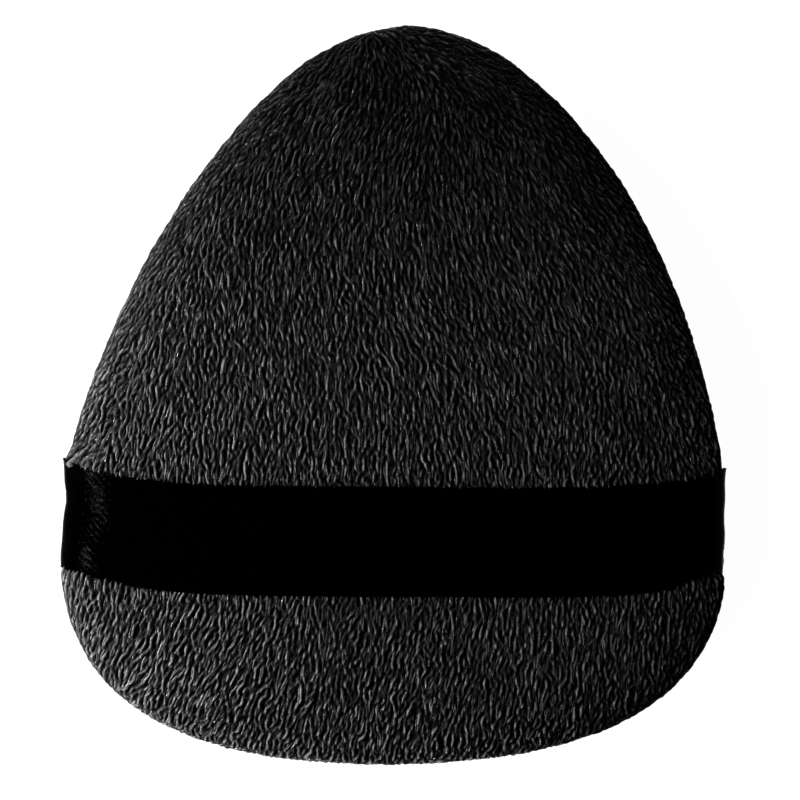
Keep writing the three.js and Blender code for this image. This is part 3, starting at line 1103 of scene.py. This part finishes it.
def beside_ribbon(stations, roots):
    """Puts tufts that start under the ribbon below it, and tips that reach its upper edge on it."""
    near = (np.abs(above_ribbon(stations)) < RIBBON_WIDTH / 2) & (stations[:, 2] > SEAM_HEIGHT)
    strip = np.flatnonzero(near)
    height, out = over_ribbon_line(stations[strip])
    under = np.minimum(height, -(RIBBON_THICKNESS + FLAT_PILE) / 2)
    over = np.maximum(height, RIBBON_THICKNESS / 2 + TIP_OVER_RIBBON)
    level = np.where(above_ribbon(roots[strip]) < 0, under, over)
    settled = stations.copy()
    settled[np.ix_(strip, (0, 2))] += out * (level - height)[:, None]
    return settled


def no_limit(places):
    return np.ones(len(places))


def on_table(stations, roots):
    """The puff's weight flattens the pile that it lies on."""
    return np.column_stack((stations[:, :2], np.maximum(stations[:, 2], PRESSED_PILE)))


def grow(name, panel, towards_seam, bare, stop, settle, seed):
    mesh = panel.data
    tree = BVHTree.FromPolygons([v.co for v in mesh.vertices], [tuple(p.vertices) for p in mesh.polygons])
    roots, normals = choose_roots(mesh, towards_seam, bare, seed)
    order = np.argsort(-roots[:, 1])
    random = np.random.default_rng(seed + 100)
    laid = comb(tree, roots[order], normals[order], towards_seam, stop, settle, random, seed)
    return plant(name, *laid, random)


ribbon_tufts = grow(
    "ribbon_side_tufts", ribbon_panel, -1, ribbon_strip, room_before_ribbon, beside_ribbon, 11)
powder_tufts = grow("powder_side_tufts", powder_panel, 1, nowhere, no_limit, on_table, 23)
pile_pieces = (ribbon_pile, powder_pile, ribbon_tufts, powder_tufts)


# %% [markdown]
# ## Velour
# Every material here is made of fibres, so one node group gives them all the same fine grain, each at its
# own scale. The pile's colour is painted black between its ridges and lighter on them, as painted shade in
# the valleys, with slow patches and a fine grain. It has no gloss, but a sheen lets the light catch on the
# fibre ends along the puff's edge. The knitted backing is a pattern of loops in rows.

# %% A grain for all fibres
def make_fibre_grain():
    """A node group: soft specks, from 0 to 1."""
    tree = bpy.data.node_groups.new("fibre_grain", "ShaderNodeTree")
    tree.interface.new_socket("Vector", in_out="INPUT", socket_type="NodeSocketVector")
    tree.interface.new_socket("Scale", in_out="INPUT", socket_type="NodeSocketFloat")
    tree.interface.new_socket("Grain", in_out="OUTPUT", socket_type="NodeSocketFloat")
    given = tree.nodes.new("NodeGroupInput")
    result = tree.nodes.new("NodeGroupOutput")
    specks = tree.nodes.new("ShaderNodeTexNoise")
    specks.inputs["Detail"].default_value = 3.0
    specks.inputs["Roughness"].default_value = 0.65
    tree.links.new(given.outputs["Vector"], specks.inputs["Vector"])
    tree.links.new(given.outputs["Scale"], specks.inputs["Scale"])
    clear = spread_over(tree.nodes, tree.links, specks.outputs["Fac"], 0.0, 1.0, 0.32, 0.68)
    tree.links.new(clear, result.inputs["Grain"])
    return tree


fibre_grain = make_fibre_grain()


def add_grain(nodes, links, scale):
    """The grain on an object's own coordinates, in specks per metre."""
    group = nodes.new("ShaderNodeGroup")
    group.node_tree = fibre_grain
    group.inputs["Scale"].default_value = scale
    coordinates = nodes.new("ShaderNodeTexCoord")
    links.new(coordinates.outputs["Object"], group.inputs["Vector"])
    return group.outputs["Grain"]


# %% Standing pile
PILE_COLOUR = (0.046, 0.046, 0.0474)
PILE_COLOUR_SHADE = 0.6
PILE_GRAIN = 5000.0
PILE_PATCHES = 900.0
RIDGE_POWER = 3.5
RIDGE_SHADES = (0.008, 0.7)
PATCH_SHADES = (0.6, 1.35)
GRAIN_SHADES = (0.35, 1.3)
PILE_BUMP = 0.04 * MM
BLACK = (0.0, 0.0, 0.0)

pile_cloth, nodes, links, shader = new_material("velour_pile")
painted_shade_and_tone = nodes.new("ShaderNodeAttribute")
painted_shade_and_tone.attribute_name = "painted_shade_and_tone"
grain = add_grain(nodes, links, PILE_GRAIN)
patches = add_grain(nodes, links, PILE_PATCHES)
# Painted shade: the colour is black in the valleys between the ridges and lighter on their tops.
shade = calculate(nodes, links, "POWER", painted_shade_and_tone.outputs["Fac"], RIDGE_POWER)
shade = spread_over(nodes, links, shade, *RIDGE_SHADES)
shade = calculate(nodes, links, "MULTIPLY", shade, spread_over(nodes, links, patches, *PATCH_SHADES))
shade = calculate(nodes, links, "MULTIPLY", shade, spread_over(nodes, links, grain, *GRAIN_SHADES))
lightest = tuple(c / PILE_COLOUR_SHADE for c in PILE_COLOUR)
grade_colour(nodes, links, shader, shade, BLACK, lightest)
grade_roughness(nodes, links, shader, grain, 0.65, 0.45)
raise_surface(nodes, links, shader, grain, PILE_BUMP)
shader.inputs["Specular IOR Level"].default_value = 0.0
shader.inputs["Sheen Weight"].default_value = 0.5
shader.inputs["Sheen Roughness"].default_value = 0.1
for piece in pile_pieces:
    piece.data.materials.append(pile_cloth)

# %% Knitted backing
KNIT_ROW = 0.42 * MM
KNIT_LOOP = 0.34 * MM
KNIT_GRAIN = 3000.0
KNIT_BUMP = 0.1 * MM
KNIT_DARK, KNIT_LIGHT = (0.0006, 0.0006, 0.0006), (0.004, 0.004, 0.0042)

backing_cloth, nodes, links, shader = new_material("velour_backing")
axes = nodes.new("ShaderNodeSeparateXYZ")
links.new(nodes.new("ShaderNodeTexCoord").outputs["Object"], axes.inputs["Vector"])
loops = sine_wave(nodes, links, axes.outputs["X"], KNIT_LOOP)
rows = sine_wave(nodes, links, axes.outputs["Y"], KNIT_ROW)
knit = spread_over(nodes, links, calculate(nodes, links, "MULTIPLY", loops, rows), 0.0, 1.0, -1.0, 1.0)
grain = add_grain(nodes, links, KNIT_GRAIN)
knit = calculate(nodes, links, "MULTIPLY", knit, grain)
grade_colour(nodes, links, shader, knit, KNIT_DARK, KNIT_LIGHT)
grade_roughness(nodes, links, shader, grain, 0.95, 0.8)
raise_surface(nodes, links, shader, knit, KNIT_BUMP)
shader.inputs["Specular IOR Level"].default_value = 0.1
for panel in (ribbon_panel, powder_panel):
    panel.data.materials.append(backing_cloth)

# %% [markdown]
# ## Satin ribbon
# A single-face satin ribbon is a thin strip whose warp floats over many wefts, which makes it smooth and
# black from most sides, with a broken glare where it turns towards the lamp. It is bent from a grid along
# the ribbon line. The grid is finer towards both edges for the selvedge, a row of tiny weft loops, and the
# ends are pinched where the seam gathers them. The map of the strip is in millimetres, so that the weave
# follows it round every bend.

# %% Bend a grid along the ribbon line
RIBBON_ACROSS = 16
RIBBON_ALONG = 720
SELVEDGE_PITCH = 0.5 * MM
SELVEDGE_LOOP = 0.07 * MM
END_ACROSS = (-0.5, -0.2, 0.15, 0.5)
LEFT_PULL = (0.25, 0.05, -0.5, -0.17)
RIGHT_PULL = (-0.44, -0.09, -0.04, 0.18)
END_FROM, END_FULL = 0.8, 0.98
WRINKLE = 0.05 * MM
WRINKLE_TURNS_ACROSS = 19
WRINKLE_TURNS_PER_MM = 1.3
EDGE_ACROSS = 0.499
RIBBON_SOLID = 0.8

bm = bmesh.new()
bmesh.ops.create_grid(bm, x_segments=RIBBON_ACROSS, y_segments=RIBBON_ALONG, size=0.5, calc_uvs=True)
weave_map = bm.loops.layers.uv.verify()
for vertex in bm.verts:
    vertex.co.x = math.sin(vertex.co.x * math.pi) / 2
for face in bm.faces:
    for loop in face.loops:
        u, v = loop.vert.co.x * RIBBON_WIDTH, (loop.vert.co.y + 0.5) * ribbon_length
        loop[weave_map].uv = (u / MM, v / MM)
for vertex in bm.verts:
    across, run = vertex.co.x, (vertex.co.y + 0.5) * ribbon_length
    x = np.interp(run, ribbon_run, ribbon_line[:, 0])
    z = np.interp(run, ribbon_run, ribbon_line[:, 1])
    out = [np.interp(run, ribbon_run, ribbon_out[:, k]) for k in range(2)]
    near_end = smooth_step(END_FROM, END_FULL, abs(x) / ribbon_side)
    pinch = near_end * np.interp(across, END_ACROSS, LEFT_PULL if x < 0 else RIGHT_PULL) * MM
    turns = across * WRINKLE_TURNS_ACROSS + x / MM * WRINKLE_TURNS_PER_MM
    wrinkle = WRINKLE * near_end * math.sin(turns)
    at_edge = float(abs(across) > EDGE_ACROSS)
    loop = SELVEDGE_LOOP * at_edge * (1 + math.cos(run / SELVEDGE_PITCH * math.tau)) / 2
    y = ribbon_middle + ribbon_rise(x) + across * RIBBON_WIDTH + math.copysign(loop, across)
    lifted = pinch + wrinkle + loop
    vertex.co = (x + out[0] * lifted, y, z + out[1] * lifted)
bmesh.ops.recalc_face_normals(bm, faces=bm.faces)
ribbon_mesh = bpy.data.meshes.new("satin_ribbon")
bm.to_mesh(ribbon_mesh)
bm.free()
ribbon_mesh.shade_smooth()
ribbon = bpy.data.objects.new("satin_ribbon", ribbon_mesh)
scene.collection.objects.link(ribbon)
thick = ribbon.modifiers.new("thickness", "SOLIDIFY")
thick.thickness = RIBBON_THICKNESS * RIBBON_SOLID
thick.offset = 0
print("ribbon faces", len(ribbon_mesh.polygons))

# %% Satin weave
FLOAT_PITCH_MM = 1.1
FLOAT_SLANT = -1.25
STEP_PITCH_MM = 1.7
STEP_SLANT = 2.2
STEP_SHARE = 0.6
SATIN_GRAIN = 1500.0
SATIN_BUMP = 0.03 * MM
SATIN_DARK, SATIN_LIGHT = (0.00001, 0.00001, 0.00001), (0.00006, 0.00006, 0.00006)

satin, nodes, links, shader = new_material("satin")
strip = nodes.new("ShaderNodeUVMap")
strip.uv_map = ribbon_mesh.uv_layers[0].name
axes = nodes.new("ShaderNodeSeparateXYZ")
links.new(strip.outputs["UV"], axes.inputs["Vector"])
slanted = calculate(nodes, links, "MULTIPLY_ADD", axes.outputs["X"], FLOAT_SLANT, axes.outputs["Y"])
floats = sine_wave(nodes, links, slanted, FLOAT_PITCH_MM)
stepped = calculate(nodes, links, "MULTIPLY_ADD", axes.outputs["X"], STEP_SLANT, axes.outputs["Y"])
steps = sine_wave(nodes, links, stepped, STEP_PITCH_MM)
weave = calculate(nodes, links, "MULTIPLY_ADD", steps, STEP_SHARE, floats)
weave = spread_over(nodes, links, weave, 0.0, 1.0, -1 - STEP_SHARE, 1 + STEP_SHARE)
grain = add_grain(nodes, links, SATIN_GRAIN)
weave = calculate(nodes, links, "MULTIPLY", weave, grain)
grade_colour(nodes, links, shader, weave, SATIN_DARK, SATIN_LIGHT)
grade_roughness(nodes, links, shader, weave, 0.12, 0.08)
raise_surface(nodes, links, shader, weave, SATIN_BUMP)
shader.inputs["Specular IOR Level"].default_value = 0.0012
ribbon.data.materials.append(satin)

# %% [markdown]
# ## Foam core
# The filling is a cut block of soft open-cell foam. Its solid in the CAD model already has the right shape,
# with the slot for the seam allowance, so a copy of that mesh is merged, given even faces, and roughened a
# little, as cut foam is.

# %% Copy and roughen the foam
FOAM_FACE = 0.9 * MM
FOAM_ROUGH = 0.12 * MM
FOAM_PORE = 1.6 * MM

bm = bmesh.new()
bm.from_mesh(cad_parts["foam_core"].data)
bmesh.ops.remove_doubles(bm, verts=bm.verts, dist=0.001 * MM)
foam_mesh = bpy.data.meshes.new("foam_filling")
bm.to_mesh(foam_mesh)
bm.free()
foam = bpy.data.objects.new("foam_filling", foam_mesh)
scene.collection.objects.link(foam)
remesh(foam, FOAM_FACE)
places = get_places(foam.data)
normals = np.array([v.normal for v in foam.data.vertices])
places += normals * (FOAM_ROUGH * (waves(places, FOAM_PORE, 3.0) - 1))[:, None]
places[:, 0] += lean(places[:, 1])
set_places(foam.data, places)
foam.data.shade_smooth()
print("foam faces", len(foam.data.polygons))

# %% Open-cell foam
FOAM_CELLS = 1500.0
FOAM_GRAIN = 900.0
FOAM_BUMP = 0.25 * MM
FOAM_DARK, FOAM_LIGHT = (0.48, 0.43, 0.34), (0.87, 0.83, 0.74)

sponge, nodes, links, shader = new_material("open_cell_foam")
cells = nodes.new("ShaderNodeTexVoronoi")
cells.inputs["Scale"].default_value = FOAM_CELLS
links.new(nodes.new("ShaderNodeTexCoord").outputs["Object"], cells.inputs["Vector"])
grain = add_grain(nodes, links, FOAM_GRAIN)
walls = spread_over(nodes, links, cells.outputs["Distance"], 0.0, 1.0, 0.15, 0.6)
tint = calculate(nodes, links, "MULTIPLY", walls, spread_over(nodes, links, grain, 0.75, 1.0))
grade_colour(nodes, links, shader, tint, FOAM_DARK, FOAM_LIGHT)
grade_roughness(nodes, links, shader, walls, 0.95, 0.8)
raise_surface(nodes, links, shader, walls, FOAM_BUMP)
shader.inputs["Specular IOR Level"].default_value = 0.2
foam.data.materials.append(sponge)

# %% [markdown]
# ## Sewing threads
# The seam is sewn with two-ply thread: three runs of machine stitching in the groove between the panels, a
# whip stitch over the turning gap in the base, and a tack across each ribbon end. A ply is a curve with a
# round bevel that winds round the thread's line, so both plies are made by one function from that line.

# %% Wind two plies round a line
THREAD = 0.4 * MM
PLY_PITCH = 1.0 * MM
PLY_STEP = 0.14 * MM


def wind_thread(name, line):
    """A thread of two plies along a line of places."""
    line = np.array(line)
    line[:, 0] += lean(line[:, 1])
    run = run_along(line)
    steps = np.linspace(0, run[-1], math.ceil(run[-1] / PLY_STEP) + 1)
    middle = np.column_stack([np.interp(steps, run, line[:, k]) for k in range(3)])
    along = np.gradient(middle, axis=0)
    sideways = np.column_stack((along[:, 1], -along[:, 0], np.zeros(len(along))))
    sideways /= np.linalg.norm(sideways, axis=1)[:, None]
    upwards = np.cross(sideways, along)
    upwards /= np.linalg.norm(upwards, axis=1)[:, None]
    curve = bpy.data.curves.new(name, "CURVE")
    curve.dimensions = "3D"
    curve.bevel_depth = THREAD / 4
    curve.bevel_resolution = 1
    curve.use_fill_caps = True
    for turn in (0, math.pi):
        angle = steps / PLY_PITCH * math.tau + turn
        places = middle + THREAD / 4 * (sideways * np.cos(angle)[:, None] + upwards * np.sin(angle)[:, None])
        ply = curve.splines.new("POLY")
        ply.points.add(len(places) - 1)
        ply.points.foreach_set("co", np.column_stack((places, np.ones(len(places)))).ravel())
    wound = bpy.data.objects.new(name, curve)
    mesh = finished_mesh_of_curve(wound, name)
    thread = bpy.data.objects.new(name, mesh)
    scene.collection.objects.link(thread)
    print(name, "length in mm", round(run[-1] / MM, 1), "faces", len(mesh.polygons))
    return thread


def finished_mesh_of_curve(wound, name):
    """Turns a bevelled curve into a mesh and removes the curve."""
    scene.collection.objects.link(wound)
    mesh = finished_mesh(wound, name)
    mesh.shade_smooth()
    curve = wound.data
    bpy.data.objects.remove(wound)
    bpy.data.curves.remove(curve)
    return mesh


# %% Sew the seam, the turning gap and the ribbon ends
CLOSING_LENGTH = 30.0 * MM
CLOSING_PITCH = 2.5 * MM
WHIP_STEP = 0.1 * MM
SEAM_POINTS = 2000
TACK_POINTS = 20

lip = rim - SEAM_DEPTH
seam_radius = lip - THREAD
right_shares = np.linspace(0, 0.5, SEAM_POINTS)


def seam_places(shares, radius, heights):
    places = centre + (outline_at(shares) - centre) * (radius / rim)
    return np.column_stack((places, np.broadcast_to(heights, len(places))))


def share_at(y):
    """How far round the right side the seam reaches a place along the puff."""
    return float(np.interp(y, seam_places(right_shares, seam_radius, 0.0)[:, 1], right_shares))


def seam_run(first, last):
    count = math.ceil((last - first) * cut_length[-1] / PLY_STEP)
    return seam_places(np.linspace(first, last, count), seam_radius, SEAM_HEIGHT)


def past_ribbon(end_rise, way):
    """Where the stitching starts again beside a ribbon end, above it or below it."""
    return share_at(ribbon_middle + end_rise + way * (RIBBON_WIDTH / 2 + FIT))


closing = CLOSING_LENGTH / 2 / cut_length[-1]
start = closing + THREAD / cut_length[-1]
whip = np.linspace(-closing, closing, math.ceil(CLOSING_LENGTH / WHIP_STEP))
roll_depth = SEAM_DEPTH / 2
swing = SEAM_GAP / 2 + SEAM_ROUND * (1 - math.sqrt(1 - (roll_depth / SEAM_DEPTH) ** 2)) - FIT - THREAD / 2
whip_height = SEAM_HEIGHT + swing * np.sin((whip + closing) * cut_length[-1] / CLOSING_PITCH * math.tau)
tack_x = tab_end - FIT - THREAD / 2


def tack(x, end_rise):
    middle = ribbon_middle + end_rise
    ends = np.linspace(middle - RIBBON_WIDTH / 2, middle + RIBBON_WIDTH / 2, TACK_POINTS)
    return np.column_stack((np.full(TACK_POINTS, x), ends, np.full(TACK_POINTS, SEAM_HEIGHT)))


thread_lines = {
    "tip_seam_thread": seam_run(past_ribbon(right_end, 1), 1 - past_ribbon(left_end, 1)),
    "right_base_seam_thread": seam_run(start, past_ribbon(right_end, -1)),
    "left_base_seam_thread": seam_run(1 - past_ribbon(left_end, -1), 1 - start),
    "closing_seam_thread": seam_places(whip, lip + roll_depth, whip_height),
    "left_ribbon_tack": tack(-tack_x, left_end),
    "right_ribbon_tack": tack(tack_x, right_end),
}
threads = {node: wind_thread(f"twisted_{node}", line) for node, line in thread_lines.items()}

# %% Sewing cotton
COTTON_GRAIN = 8000.0
COTTON_BUMP = 0.03 * MM
COTTON_DARK, COTTON_LIGHT = (0.004, 0.004, 0.0043), (0.018, 0.018, 0.019)

cotton, nodes, links, shader = new_material("sewing_cotton")
grain = add_grain(nodes, links, COTTON_GRAIN)
grade_colour(nodes, links, shader, grain, COTTON_DARK, COTTON_LIGHT)
grade_roughness(nodes, links, shader, grain, 0.75, 0.5)
raise_surface(nodes, links, shader, grain, COTTON_BUMP)
shader.inputs["Specular IOR Level"].default_value = 0.25
for thread in threads.values():
    thread.data.materials.append(cotton)

# %% [markdown]
# ## Riding on the bodies
# Everything that is sewn together rides on the puff, and each CAD solid that a piece stands for is hidden.
# The ribbon's ends are sewn in as well, and only its middle lifts when fingers slide under it. Here the
# ribbon keeps its place in the scene and rides on no body.

for piece in (ribbon_panel, powder_panel, *pile_pieces):
    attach(piece, "puff")
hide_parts("ribbon_side_cover")
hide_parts("powder_side_cover")
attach(foam, "puff")
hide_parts("foam_core")
for node, thread in threads.items():
    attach(thread, "puff")
    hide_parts(node)
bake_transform(ribbon)
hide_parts("finger_ribbon")
